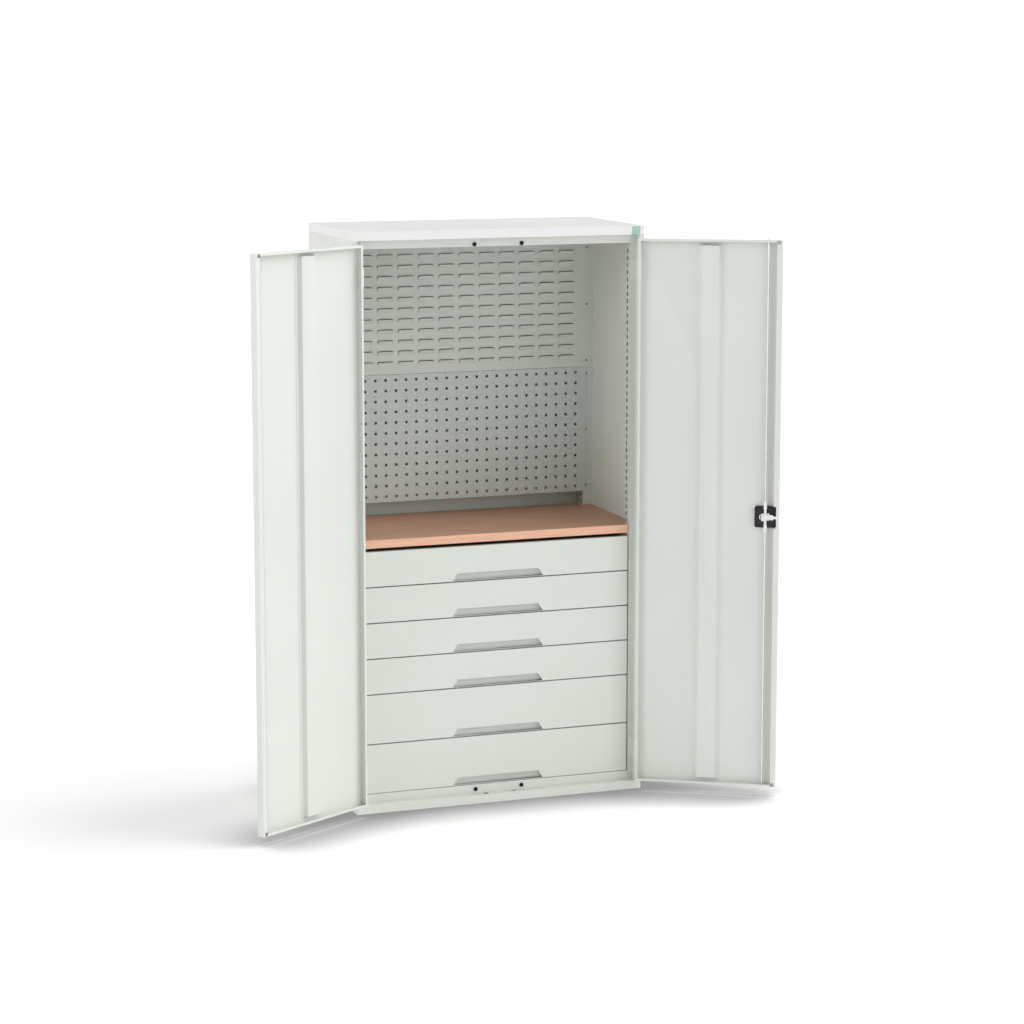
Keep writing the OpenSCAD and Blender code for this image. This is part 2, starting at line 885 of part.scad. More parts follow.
// Lever handle with its spindle, which runs through the lock case to the crank disc
module door_handle() {
    hub_y1 = door_y0 - rose_t - 0.2;
    face = door_y0 - lever_reach;
    plug_depth = 14;
    color(black_part)
        right_door_place()
            difference() {
                union() {
                    rod_along_y(lock_x, face, hub_y1, lock_z, boss_r);
                    rod_along_y(lock_x, hub_y1, disc_y, lock_z, spindle_r);
                    plate_xz(
                        lock_x, lock_z - lever_h / 2, lock_x + lever_l, lock_z + lever_h / 2,
                        face, face + lever_t, lever_h / 2 - 1
                    );
                }
                rod_along_y(lock_x, disc_y - hub_thread_l - 0.5, disc_y + 1, lock_z, thread_bore_r);
                rod_along_y(lock_x, face - 1, face + plug_depth, lock_z, plug_r + plug_gap);
            }
}

// Plug of the lock cylinder, with a plain key slot
module lock_plug() {
    face = door_y0 - lever_reach;
    plug_l = 13.7;
    key_w = 2;
    key_h = 8;
    key_d = 8;
    color(zinc)
        right_door_place()
            difference() {
                rod_along_y(lock_x, face - 1, face + plug_l, lock_z, plug_r);
                block(
                    [lock_x - key_w / 2, face - 2, lock_z - key_h / 2],
                    [lock_x + key_w / 2, face - 1 + key_d, lock_z + key_h / 2]
                );
            }
}

// Tool panels ---------------------------------------------------------------------

function panel_screw_zs() = [
    for (z0 = [louvre_z0, perf_z0], s = [-screw_span, 0, screw_span]) z0 + panel_h / 2 + s
];

// A panel sheet with folded upper and lower edges and holes for its screws
module panel_sheet(z0) {
    fold_half = upright_x - 2;
    mid_z = z0 + panel_h / 2;
    difference() {
        union() {
            block([-panel_w / 2, panel_y, z0], [panel_w / 2, rear_upright_y, z0 + panel_h]);
            for (z = [z0, z0 + panel_h - wall_t])
                block([-fold_half, panel_y, z], [fold_half, rear_upright_y + panel_fold, z + wall_t]);
        }
        for (side = [-1, 1], s = [-screw_span, 0, screw_span])
            rod_along_y(side * screw_x, panel_y - 1, rear_upright_y + 1, mid_z + s, screw_hole_r);
    }
}

module perforated_panel() {
    mid_z = perf_z0 + panel_h / 2;
    color(grey_inner)
        difference() {
            panel_sheet(perf_z0);
            for (c = [0 : hole_cols - 1], r = [0 : hole_rows - 1])
                translate([
                    (c - (hole_cols - 1) / 2) * hole_pitch - hole_w / 2,
                    panel_y - 1,
                    mid_z + (r - (hole_rows - 1) / 2) * hole_pitch - hole_w / 2
                ])
                    cube([hole_w, wall_t + 2, hole_w]);
        }
}

// A slab from y0 to y1 about the middle, with rounded upper corners
module arch_slab(w, z0, z1, y0, y1, r) {
    translate([0, y1, 0])
        rotate([90, 0, 0])
            linear_extrude(y1 - y0)
                union() {
                    translate([-w / 2, z0])
                        square([w, z1 - z0 - r]);
                    translate([r - w / 2, z0])
                        square([w - 2 * r, z1 - z0]);
                    for (x = [r - w / 2, w / 2 - r])
                        translate([x, z1 - r])
                            circle(r, $fn = 16);
                }
}

// The pressed tongue of one louvre. It leans out from its foot to an open lip under the slot.
module louvre_tongue() {
    foot_z = -louvre_h / 2;
    lip_z = louvre_h / 2 - louvre_slot;
    root = 0.5;
    intersection() {
        translate([-louvre_w / 2, 0, 0])
            rotate([90, 0, 90])
                linear_extrude(louvre_w)
                    polygon([
                        [0, foot_z - root], [0, foot_z], [-louvre_d, lip_z],
                        [wall_t - louvre_d, lip_z], [wall_t, foot_z], [wall_t, foot_z - root]
                    ]);
        arch_slab(
            louvre_w - 2 * louvre_gap, foot_z - 1, lip_z,
            -louvre_d - 1, wall_t + 1, louvre_r - louvre_gap
        );
    }
}

// Its child at each louvre's place
module at_louvres() {
    for (c = [0 : louvre_cols - 1], r = [0 : louvre_rows - 1])
        translate([
            (c - (louvre_cols - 1) / 2) * louvre_pitch_x,
            panel_y,
            louvre_z0 + panel_h / 2 + (r - (louvre_rows - 1) / 2) * louvre_pitch_z
        ])
            children();
}

module louvre_panel() {
    color(grey_inner)
        union() {
            difference() {
                panel_sheet(louvre_z0);
                at_louvres()
                    arch_slab(louvre_w, -louvre_h / 2, louvre_h / 2, -1, wall_t + 1, louvre_r);
            }
            at_louvres()
                louvre_tongue();
        }
}

module panel_screws() {
    head_t = 2.4;
    shank_l = 9;
    color(zinc)
        both_sides()
            for (z = panel_screw_zs()) {
                rod_along_y(screw_x, panel_y - head_t, panel_y, z, screw_head_r);
                rod_along_y(screw_x, panel_y, panel_y + shank_l, z, screw_r);
            }
}

// Worktop -------------------------------------------------------------------------

module worktop() {
    narrow = upright_x - top_side_gap;
    wide = half_w - wall_t - top_side_gap;
    color(beech)
        union() {
            block([-narrow, face_y, top_z0], [narrow, rear_upright_y + upright_d, top_z1]);
            block(
                [-wide, recess_y + upright_d + top_side_gap, top_z0],
                [wide, rear_upright_y - top_side_gap, top_z1]
            );
        }
}

// Angles between the front and rear uprights that carry the worktop
module worktop_angles() {
    angle_y0 = face_y + 4;
    angle_y1 = rear_upright_y + upright_d - 4;
    color(grey_inner)
        both_sides() {
            block([upright_x - wall_t, angle_y0, top_z0 - angle_w], [upright_x, angle_y1, top_z0]);
            block([upright_x - angle_w, angle_y0, top_z0 - wall_t], [upright_x, angle_y1, top_z0]);
        }
}

// Drawers -------------------------------------------------------------------------

// A trapezoid prism for the grip recess, grown by t at its sides and top
module grip_prism(z, y0, y1, t) {
    translate([0, y1, z])
        rotate([90, 0, 0])
            linear_extrude(y1 - y0)
                polygon([
                    [-grip_w / 2 - t, 0], [grip_w / 2 + t, 0],
                    [grip_w / 2 - grip_slant + t, grip_h + t], [grip_slant - grip_w / 2 - t, grip_h + t]
                ]);
}

// Plan of a drawer front, drawn in by an inset, with two rounded corners at its face
module front_plan(inset) {
    r = front_r - inset;
    w = front_half - inset;
    y0 = face_y + inset;
    y1 = box_y - inset;
    union() {
        translate([-w, y0 + r])
            square([2 * w, y1 - y0 - r]);
        translate([r - w, y0])
            square([2 * (w - r), y1 - y0]);
        for (x = [r - w, w - r])
            translate([x, y0 + r])
                circle(r);
    }
}

// The solid form of a drawer front, drawn in by an inset, with its four corners rounded
module front_form(z0, z1, inset) {
    intersection() {
        translate([0, 0, z0 + inset])
            linear_extrude(z1 - z0 - 2 * inset)
                front_plan(inset);
        plate_xz(
            inset - front_half, z0 + inset, front_half - inset, z1 - inset,
            face_y - 1, box_y + 1, corner_r - inset
        );
    }
}

// A drawer front: a folded shell with returns at its back and a grip recess at its foot
module drawer_front(i) {
    z0 = front_z0(i);
    z1 = front_z1(i);
    t = drawer_sheet;
    color(grey_body)
        difference() {
            union() {
                difference() {
                    front_form(z0, z1, 0);
                    front_form(z0, z1, t);
                    block(
                        [front_lap - box_half, box_y - t - 1, z0 + box_lift + front_lap],
                        [box_half - front_lap, box_y + 1, z1 - box_drop - front_lap]
                    );
                }
                grip_prism(z0, face_y, face_y + grip_d + t, t);
            }
            grip_prism(z0 + t, face_y - 1, face_y + grip_d, 0);
        }
}

module drawer_box(i) {
    z0 = front_z0(i) + box_lift;
    z1 = front_z1(i) - box_drop;
    t = drawer_sheet;
    color(grey_inner)
        difference() {
            block([-box_half, box_y, z0], [box_half, box_y + box_d, z1]);
            block([t - box_half, box_y + t, z0 + t], [box_half - t, box_y + box_d - t, z1 + 1]);
        }
}

// A C section along Y with its web at web_x and its flanges reaching to tip_x, on both sides
module runner_pair(i, web_x, tip_x, h, y0, l) {
    z = front_z0(i) + runner_z;
    x0 = min(web_x, tip_x);
    x1 = max(web_x, tip_x);
    outward = web_x > tip_x;
    color(zinc)
        both_sides()
            difference() {
                block([x0, y0, z - h / 2], [x1, y0 + l, z + h / 2]);
                block(
                    [outward ? x0 - 1 : x0 + runner_t, y0 - 1, z - h / 2 + runner_t],
                    [outward ? x1 - runner_t : x1 + 1, y0 + l + 1, z + h / 2 - runner_t]
                );
            }
}

module fixed_runners() {
    for (i = [0 : drawer_n - 1])
        runner_pair(i, upright_x, box_half + runner_t + 2, runner_h, runner_y, runner_l);
}

module middle_runners(i) {
    runner_pair(i, middle_web_x, box_half + runner_t + runner_gap, middle_h, runner_y, runner_l);
}

module inner_runners(i) {
    runner_pair(i, box_half, middle_web_x - runner_t - runner_gap, inner_h, runner_y, box_d - 4);
}

// Selection of what is drawn --------------------------------------------------------
side_panel_left();
side_panel_right();
back_wall();
top_cap();
base_tray();
front_uprights();
rear_uprights();
front_rails();
door_bumpers();
carcass_hinge_leaves();
hinge_pins();
louvre_panel();
perforated_panel();
panel_screws();
worktop();
worktop_angles();
fixed_runners();
badge_plate();
door_left_skin();
door_left_stiffener();
door_left_hinge_leaves();
door_right_skin();
door_right_stiffener();
door_right_hinge_leaves();
lock_case();
lock_hub();
hub_screw();
upper_lock_rod();
lower_lock_rod();
side_bolt();
rod_bushes();
handle_rose();
door_handle();
lock_plug();
drawer_front(0);  // drawer_1_front
drawer_box(0);  // drawer_1_box
inner_runners(0);  // drawer_1_inner_runners
middle_runners(0);  // drawer_1_middle_runners
drawer_front(1);  // drawer_2_front
drawer_box(1);  // drawer_2_box
inner_runners(1);  // drawer_2_inner_runners
middle_runners(1);  // drawer_2_middle_runners
drawer_front(2);  // drawer_3_front
drawer_box(2);  // drawer_3_box
inner_runners(2);  // drawer_3_inner_runners
middle_runners(2);  // drawer_3_middle_runners
drawer_front(3);  // drawer_4_front
drawer_box(3);  // drawer_4_box
inner_runners(3);  // drawer_4_inner_runners
middle_runners(3);  // drawer_4_middle_runners
drawer_front(4);  // drawer_5_front
drawer_box(4);  // drawer_5_box
inner_runners(4);  // drawer_5_inner_runners
middle_runners(4);  // drawer_5_middle_runners
drawer_front(5);  // drawer_6_front
drawer_box(5);  // drawer_6_box
inner_runners(5);  // drawer_6_inner_runners
middle_runners(5);  // drawer_6_middle_runners
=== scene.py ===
"""Looks of a tall steel tool cabinet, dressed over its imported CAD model.

The cabinet stands with both doors open. Behind them are a louvred and a perforated tool
panel, a beech worktop and six drawers. Everything is in metres, in the frame of the CAD:
the floor is at Z = 0, the front faces -Y.
"""

import json
import logging
import math
from dataclasses import dataclass, field
from enum import Enum
from typing import Any, Dict, List, Optional, Sequence, Tuple, Union

import bmesh
import bpy
from mathutils import Matrix, Vector

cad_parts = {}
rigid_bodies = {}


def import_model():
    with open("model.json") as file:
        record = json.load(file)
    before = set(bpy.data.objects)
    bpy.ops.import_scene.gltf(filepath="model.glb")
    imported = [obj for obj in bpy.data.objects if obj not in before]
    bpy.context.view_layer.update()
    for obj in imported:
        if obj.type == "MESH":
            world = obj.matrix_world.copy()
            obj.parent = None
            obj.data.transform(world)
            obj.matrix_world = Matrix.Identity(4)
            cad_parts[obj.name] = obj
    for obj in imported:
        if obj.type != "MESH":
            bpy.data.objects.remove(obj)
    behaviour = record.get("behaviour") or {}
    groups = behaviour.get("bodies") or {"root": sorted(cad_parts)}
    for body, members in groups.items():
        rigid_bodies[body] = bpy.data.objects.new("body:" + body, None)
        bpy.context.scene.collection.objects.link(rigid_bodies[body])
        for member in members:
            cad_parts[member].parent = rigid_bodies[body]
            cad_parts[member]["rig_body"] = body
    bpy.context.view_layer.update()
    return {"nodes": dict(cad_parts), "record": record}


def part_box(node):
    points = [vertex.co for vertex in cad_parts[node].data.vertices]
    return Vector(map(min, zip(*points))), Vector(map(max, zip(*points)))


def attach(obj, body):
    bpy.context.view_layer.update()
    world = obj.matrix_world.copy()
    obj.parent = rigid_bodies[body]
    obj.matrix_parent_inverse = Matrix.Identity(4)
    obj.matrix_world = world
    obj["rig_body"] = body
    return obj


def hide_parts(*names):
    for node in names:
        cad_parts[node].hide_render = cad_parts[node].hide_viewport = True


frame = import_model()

LOG = logging.getLogger("tool_cabinet")
MM = 0.001
WELD = 1e-6
SHARP_ANGLE = math.radians(35)
ROUNDED_ANGLE = math.radians(40)
COPLANAR_ANGLE = math.radians(0.5)
LEVEL_COSINE = 0.5
SCREW_STEPS = 36
RING_STEPS = 64
DRAWERS = 6

Colour = Tuple[float, float, float, float]
Point = Tuple[float, float, float]
Span = Tuple[float, float]
FULL: Span = (0.0, 1.0)


# Finishes --------------------------------------------------------------------------------


def linear(hex_colour: str, alpha: float = 1.0) -> Colour:
    """Turns an sRGB hex colour into linear values.

    Args:
        hex_colour: Six hex digits, with or without a leading sign.
        alpha: Fourth value of the result.

    Returns:
        Red, green, blue and alpha in linear light.
    """
    digits = hex_colour.lstrip("#")
    values = [int(digits[i : i + 2], 16) / 255 for i in (0, 2, 4)]
    red, green, blue = (
        v / 12.92 if v <= 0.04045 else ((v + 0.055) / 1.055) ** 2.4 for v in values
    )
    return (red, green, blue, alpha)


def add_node(
    tree: bpy.types.NodeTree,
    kind: str,
    settings: Optional[Dict[Union[str, int], Any]] = None,
    links: Optional[Dict[Union[str, int], bpy.types.NodeSocket]] = None,
) -> bpy.types.Node:
    """Adds a node with its settings and its incoming links.

    Args:
        tree: Node tree that gets the node.
        kind: Type name of the node.
        settings: Values by input name or number, or by attribute name.
        links: Output sockets by the input that they feed.

    Returns:
        The new node.
    """
    node = tree.nodes.new(kind)
    for key, value in (settings or {}).items():
        if isinstance(key, str) and hasattr(node, key):
            setattr(node, key, value)
        else:
            node.inputs[key].default_value = value
    for key, socket in (links or {}).items():
        tree.links.new(socket, node.inputs[key])
    return node


class Grain(Enum):
    """Direction in which metal is drawn or ground."""

    UPRIGHT = (1.0, 1.0, 0.04)
    DEPTH = (1.0, 0.04, 1.0)


def object_coordinates(
    tree: bpy.types.NodeTree, scale: Point = (1.0, 1.0, 1.0)
) -> bpy.types.NodeSocket:
    """Gives the piece's own coordinates in metres, stretched by a scale.

    Args:
        tree: Node tree of the material.
        scale: Factor along each axis.

    Returns:
        Socket with the coordinates.
    """
    place = add_node(tree, "ShaderNodeTexCoord")
    mapping = add_node(
        tree, "ShaderNodeMapping", {"Scale": scale}, {"Vector": place.outputs["Object"]}
    )
    return mapping.outputs["Vector"]


def noise(
    tree: bpy.types.NodeTree,
    size: float,
    vector: bpy.types.NodeSocket,
    detail: float = 2.0,
    roughness: float = 0.5,
) -> bpy.types.NodeSocket:
    """Adds noise whose blotches have a real size.

    Args:
        tree: Node tree of the material.
        size: Width of a blotch in metres.
        vector: Coordinates that the noise reads.
        detail: Number of finer layers.
        roughness: Weight of the finer layers.

    Returns:
        Socket with the noise value.
    """
    node = add_node(
        tree,
        "ShaderNodeTexNoise",
        {"Scale": 1 / size, "Detail": detail, "Roughness": roughness},
        {"Vector": vector},
    )
    return node.outputs["Fac"]


def blend_colours(
    tree: bpy.types.NodeTree,
    factor: bpy.types.NodeSocket,
    low: Union[Colour, bpy.types.NodeSocket],
    high: Union[Colour, bpy.types.NodeSocket],
) -> bpy.types.NodeSocket:
    """Mixes two colours by a factor.

    Args:
        tree: Node tree of the material.
        factor: Socket that runs from 0 to 1.
        low: Colour or socket at 0.
        high: Colour or socket at 1.

    Returns:
        Socket with the mixed colour.
    """
    node = add_node(tree, "ShaderNodeMix", {"data_type": "RGBA"}, {0: factor})
    for index, value in ((6, low), (7, high)):
        if isinstance(value, bpy.types.NodeSocket):
            tree.links.new(value, node.inputs[index])
        else:
            node.inputs[index].default_value = value
    return node.outputs[2]


def remap(
    tree: bpy.types.NodeTree,
    value: bpy.types.NodeSocket,
    source: Span,
    target: Span = FULL,
) -> bpy.types.NodeSocket:
    """Maps a value from one range to another and clamps it there.

    Args:
        tree: Node tree of the material.
        value: Socket with the value.
        source: Range that is read.
        target: Range that is given.

    Returns:
        Socket with the mapped value.
    """
    node = add_node(
        tree,
        "ShaderNodeMapRange",
        {
            "From Min": source[0],
            "From Max": source[1],
            "To Min": target[0],
            "To Max": target[1],
        },
        {"Value": value},
    )
    return node.outputs["Result"]


def bump(
    tree: bpy.types.NodeTree,
    height: bpy.types.NodeSocket,
    depth: float,
    strength: float,
    below: Optional[bpy.types.NodeSocket] = None,
) -> bpy.types.NodeSocket:
    """Turns a height into a bumped normal.

    Args:
        tree: Node tree of the material.
        height: Socket with the height, from 0 to 1.
        depth: Real height of the bumps in metres.
        strength: Share of the effect.
        below: Normal of a coarser bump under this one.

    Returns:
        Socket with the normal.
    """
    links = {"Height": height}
    if below is not None:
        links["Normal"] = below
    node = add_node(
        tree, "ShaderNodeBump", {"Distance": depth, "Strength": strength}, links
    )
    return node.outputs["Normal"]


def new_material(
    name: str,
) -> Tuple[bpy.types.Material, bpy.types.NodeTree, bpy.types.Node]:
    """Makes an empty material with its surface shader.

    Args:
        name: Name of the material.

    Returns:
        The material, its node tree and its surface shader.
    """
    material = bpy.data.materials.new(name)
    material.use_nodes = True
    tree = material.node_tree
    tree.nodes.clear()
    shader = add_node(tree, "ShaderNodeBsdfPrincipled")
    add_node(
        tree, "ShaderNodeOutputMaterial", links={"Surface": shader.outputs["BSDF"]}
    )
    return material, tree, shader


@dataclass(frozen=True)
class PowderCoat:
    """Polyester powder coat, baked on steel sheet.

    It flows out to a fine orange peel, so highlights are broad and slightly mottled, and
    the colour is even apart from faint clouds and a little handling haze.
    """

    name: str
    colour: str
    cloud_colour: str
    roughness: float = 0.45
    sheen_level: float = 0.32
    peel_size: float = 3.2 * MM
    peel_depth: float = 0.04 * MM
    peel_strength: float = 0.25
    cloud_size: float = 0.42
    cloud_range: Span = (0.3, 0.7)
    haze_size: float = 0.09
    haze_range: Span = (0.35, 0.7)
    haze_spread: Span = (-0.05, 0.09)

    def build(self) -> bpy.types.Material:
        """Builds the material.

        The orange peel is drawn at 3.2 mm, coarser than the real one, so that it shows.

        Returns:
            The material.
        """
        material, tree, shader = new_material(self.name)
        place = object_coordinates(tree)
        clouds = remap(tree, noise(tree, self.cloud_size, place, 3.0), self.cloud_range)
        colour = blend_colours(tree, clouds, linear(self.colour), linear(self.cloud_colour))
        haze = noise(tree, self.haze_size, place, 5.0, 0.62)
        smooth, dull = (self.roughness + change for change in self.haze_spread)
        gloss = remap(tree, haze, self.haze_range, (smooth, dull))
        peel = noise(tree, self.peel_size, place, 1.5)
        normal = bump(tree, peel, self.peel_depth, self.peel_strength)
        tree.links.new(colour, shader.inputs["Base Color"])
        tree.links.new(gloss, shader.inputs["Roughness"])
        tree.links.new(normal, shader.inputs["Normal"])
        shader.inputs["IOR"].default_value = 1.5
        shader.inputs["Specular IOR Level"].default_value = self.sheen_level
        return material


@dataclass(frozen=True)
class ZincSteel:
    """Bright zinc-plated steel, drawn or rolled before plating.

    The plating keeps the drawing lines of the steel and adds a faint, cool mottle.
    """

    name: str
    colour: str
    stain: str
    grain: Grain
    roughness: float = 0.34
    line_size: float = 1.2 * MM
    mottle_size: float = 14 * MM
    line_depth: float = 0.03 * MM
    line_strength: float = 0.3
    line_range: Span = (0.3, 0.7)
    line_spread: Span = (-0.08, 0.1)
    mottle_range: Span = (0.35, 0.68)

    def build(self) -> bpy.types.Material:
        """Builds the material.

        Drawing lines are 1.2 mm wide, coarser than the real ones, so that they show.

        Returns:
            The material.
        """
        material, tree, shader = new_material(self.name)
        place = object_coordinates(tree)
        drawn = object_coordinates(tree, self.grain.value)
        lines = noise(tree, self.line_size, drawn, 2.0)
        mottle = noise(tree, self.mottle_size, place, 4.0, 0.6)
        cover = remap(tree, mottle, self.mottle_range)
        colour = blend_colours(tree, cover, linear(self.colour), linear(self.stain))
        smooth, dull = (self.roughness + change for change in self.line_spread)
        gloss = remap(tree, lines, self.line_range, (smooth, dull))
        normal = bump(tree, lines, self.line_depth, self.line_strength)
        tree.links.new(colour, shader.inputs["Base Color"])
        tree.links.new(gloss, shader.inputs["Roughness"])
        tree.links.new(normal, shader.inputs["Normal"])
        shader.inputs["Metallic"].default_value = 1.0
        return material


@dataclass(frozen=True)
class Beech:
    """Steamed beech, planed, sanded and oiled.

    Steaming gives the pinkish brown. Long, quiet grain runs along the board, with the
    short dark flecks of beech's rays in it, and the oil leaves a low sheen.
    """

    name: str
    light: str
    dark: str
    fleck: str
    grain_width: float = 7 * MM
    grain_stretch: float = 0.035
    fleck_width: float = 2.2 * MM
    fleck_stretch: float = 0.22
    stave_width: float = 42 * MM
    grain_depth: float = 0.1 * MM
    fleck_depth: float = 0.06 * MM
    sheen_range: Span = (0.42, 0.56)

    def build(self) -> bpy.types.Material:
        """Builds the material.

        Flecks are 2.2 mm wide, about twice the real width, so that they show.

        Returns:
            The material.
        """
        material, tree, shader = new_material(self.name)
        along = object_coordinates(tree, (self.grain_stretch, 1.0, 1.0))
        short = object_coordinates(tree, (self.fleck_stretch, 1.0, 1.0))
        grain = noise(tree, self.grain_width, along, 4.0, 0.55)
        broad = noise(tree, self.stave_width, along, 2.0)
        flecks = noise(tree, self.fleck_width, short, 2.0, 0.6)
        rings = remap(tree, grain, (0.32, 0.68))
        tone = blend_colours(tree, rings, linear(self.light), linear(self.dark))
        dark_staves = remap(tree, broad, (0.35, 0.65), (0.0, 0.45))
        staves = blend_colours(tree, dark_staves, tone, linear(self.dark))
        spots = remap(tree, flecks, (0.6, 0.72), (0.0, 0.5))
        colour = blend_colours(tree, spots, staves, linear(self.fleck))
        gloss = remap(tree, grain, (0.3, 0.7), self.sheen_range)
        coarse = bump(tree, grain, self.grain_depth, 0.3)
        normal = bump(tree, flecks, self.fleck_depth, 0.25, coarse)
        tree.links.new(colour, shader.inputs["Base Color"])
        tree.links.new(gloss, shader.inputs["Roughness"])
        tree.links.new(normal, shader.inputs["Normal"])
        return material


@dataclass(frozen=True)
class MouldedBlack:
    """Black polyamide or rubber, moulded in a spark-eroded tool.

    The tool leaves an even fine grain that breaks up highlights.
    """

    name: str
    colour: str
    worn: str
    roughness: float
    grain_size: float = 0.9 * MM
    grain_depth: float = 0.04 * MM
    grain_strength: float = 0.5
    rub_size: float = 12 * MM
    rub_range: Span = (0.4, 0.72)
    rub_polish: float = 0.09
    sheen_level: float = 0.3

    def build(self) -> bpy.types.Material:
        """Builds the material.

        The grain is drawn at 0.9 mm, three times the real size, so that it shows.

        Returns:
            The material.
        """
        material, tree, shader = new_material(self.name)
        place = object_coordinates(tree)
        rub = remap(tree, noise(tree, self.rub_size, place, 4.0, 0.6), self.rub_range)
        colour = blend_colours(tree, rub, linear(self.colour), linear(self.worn))
        polished = self.roughness - self.rub_polish
        gloss = remap(tree, rub, FULL, (self.roughness, polished))
        grain = noise(tree, self.grain_size, place, 1.0)
        normal = bump(tree, grain, self.grain_depth, self.grain_strength)
        tree.links.new(colour, shader.inputs["Base Color"])
        tree.links.new(gloss, shader.inputs["Roughness"])
        tree.links.new(normal, shader.inputs["Normal"])
        shader.inputs["Specular IOR Level"].default_value = self.sheen_level
        return material


CARCASS_PAINT = PowderCoat("powder_coat_light_grey", "E2E5DF", "DEE2DB")
DOOR_PAINT = PowderCoat("powder_coat_light_grey_doors", "E3E6E0", "DFE3DD")
# Painted shade: a darker copy of the light grey powder coat for the parts inside the
# carcass and the drawer boxes.
INNER_PAINTED_SHADE = PowderCoat("powder_coat_light_grey_inside_painted_shade", "D5DBD4", "D0D6CF", 0.5)
PANEL_PAINT = PowderCoat("powder_coat_light_grey_panel", "CCD3CF", "C7CECA", 0.5)
# Painted light and shade on the top cap, which is one paint: the lighter copy for its
# upright faces, the darker one for its level faces.
FASCIA_PAINTED_LIGHT = PowderCoat("powder_coat_light_grey_fascia_painted_light", "F1F2F0", "EEEFEE", 0.6, 0.1)
TOP_PAINTED_SHADE = PowderCoat("powder_coat_light_grey_top_painted_shade", "E6E6E5", "E1E1E1", 0.6, 0.1)
# Plain white for the lock's hub, side bolt, hub screw and the rods' flat ends.
WHITE_LOCK_FINISH = PowderCoat("plain_white_steel", "F4F4F5", "EEEEF0", 0.3)
PLATE_PAINT = PowderCoat("pale_green_coated_plate", "A9CDBB", "A2C8B5", 0.35)
ROD_ZINC = ZincSteel("zinc_plated_steel_rods", "DADCDC", "CDD0D1", Grain.UPRIGHT, 0.4)
SCREW_ZINC = ZincSteel("dull_zinc_screws", "A4A8A8", "8E9293", Grain.DEPTH, 0.45)
BLACK_STEEL_AND_SOCKET_SHADE = ZincSteel("black_oxide_steel_and_socket_shade", "3A3B3D", "2B2C2E", Grain.DEPTH, 0.4)
RUNNER_ZINC = ZincSteel("zinc_plated_steel_runners", "CBCED1", "B5B9BE", Grain.DEPTH)
NICKEL = ZincSteel(
    "nickel_plated_brass", "D8D4CC", "C8C3BA", Grain.DEPTH, 0.2, 0.8 * MM, 6 * MM
)
BEECH = Beech("steamed_beech_oiled", "D0A288", "C29276", "9A6A4E")
# Painted light: a lighter copy of the same beech for the worktop's upright faces.
BEECH_EDGE_PAINTED_LIGHT = Beech("steamed_beech_edge_painted_light", "F3C3A6", "E6B294", "BC8767")
POLYAMIDE = MouldedBlack("black_polyamide", "121314", "1D1E20", 0.5)
RIDGE_BLACK = MouldedBlack("black_polyamide_polished", "242527", "313235", 0.32)
RUBBER = MouldedBlack("black_rubber", "111212", "1D1E1E", 0.7)

_BUILT: Dict[str, bpy.types.Material] = {}


def finish_of(finish: Any) -> bpy.types.Material:
    """Gives the material of a finish, building it at its first use.

    Args:
        finish: A finish with a name and a build method.

    Returns:
        The material.
    """
    if finish.name not in _BUILT:
        _BUILT[finish.name] = finish.build()
        LOG.info("material %s", finish.name)
    return _BUILT[finish.name]


# Pieces ----------------------------------------------------------------------------------


def paint(obj: bpy.types.Object, finish: Any) -> None:
    """Gives a piece one finish all over.

    Args:
        obj: The piece.
        finish: Its finish.
    """
    obj.data.materials.clear()
    obj.data.materials.append(finish_of(finish))


def dress_node(node: str, finish: Any) -> bpy.types.Object:
    """Keeps a CAD node as it is and gives it a finish.

    Args:
        node: Name of the CAD node.
        finish: Its finish.

    Returns:
        The node's object.
    """
    obj = frame["nodes"][node]
    paint(obj, finish)
    LOG.info("node %s keeps its CAD shape", node)
    return obj


def place_piece(
    name: str, shape: bmesh.types.BMesh, finish: Any, body: str
) -> bpy.types.Object:
    """Turns a finished bmesh into a piece that rides on a body.

    Args:
        name: Name of the piece.
        shape: Its geometry in the frame of the CAD. It is freed here.
        finish: Its finish.
        body: CAD body that it rides on.

    Returns:
        The piece.
    """
    mesh = bpy.data.meshes.new(name)
    shape.to_mesh(mesh)
    shape.free()
    obj = bpy.data.objects.new(name, mesh)
    bpy.context.scene.collection.objects.link(obj)
    paint(obj, finish)
    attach(obj, body)
    LOG.info("piece %s on %s", name, body)
    return obj


def roll_edges(obj: bpy.types.Object, radius: float, segments: int = 2) -> None:
    """Rounds the sharp edges of a piece and shades it smooth across them.

    Args:
        obj: The piece.
        radius: Width of the rounding in metres.
        segments: Number of facets across it.
    """
    obj.data.shade_smooth()
    obj.data.set_sharp_from_angle(angle=SHARP_ANGLE)
    bevel = obj.modifiers.new("rolled_edges", "BEVEL")
    bevel.width = radius
    bevel.segments = segments
    bevel.limit_method = "ANGLE"
    bevel.angle_limit = ROUNDED_ANGLE
    bevel.harden_normals = True


def rolled_copy(
    node: str, finish: Any, radius: float, segments: int = 2
) -> bpy.types.Object:
    """Replaces a CAD node by a welded copy whose edges are rounded.

    Args:
        node: Name of the CAD node.
        finish: Finish of the copy.
        radius: Width of the rounding in metres.
        segments: Number of facets across it.

    Returns:
        The copy.
    """
    shape = bmesh.new()
    shape.from_mesh(frame["nodes"][node].data)
    bmesh.ops.remove_doubles(shape, verts=shape.verts, dist=WELD)
    bmesh.ops.dissolve_limit(
        shape, angle_limit=COPLANAR_ANGLE, verts=shape.verts, edges=shape.edges
    )
    body = frame["nodes"][node]["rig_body"]
    obj = place_piece(f"{node}_rolled", shape, finish, body)
    roll_edges(obj, radius, segments)
    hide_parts(node)
    return obj


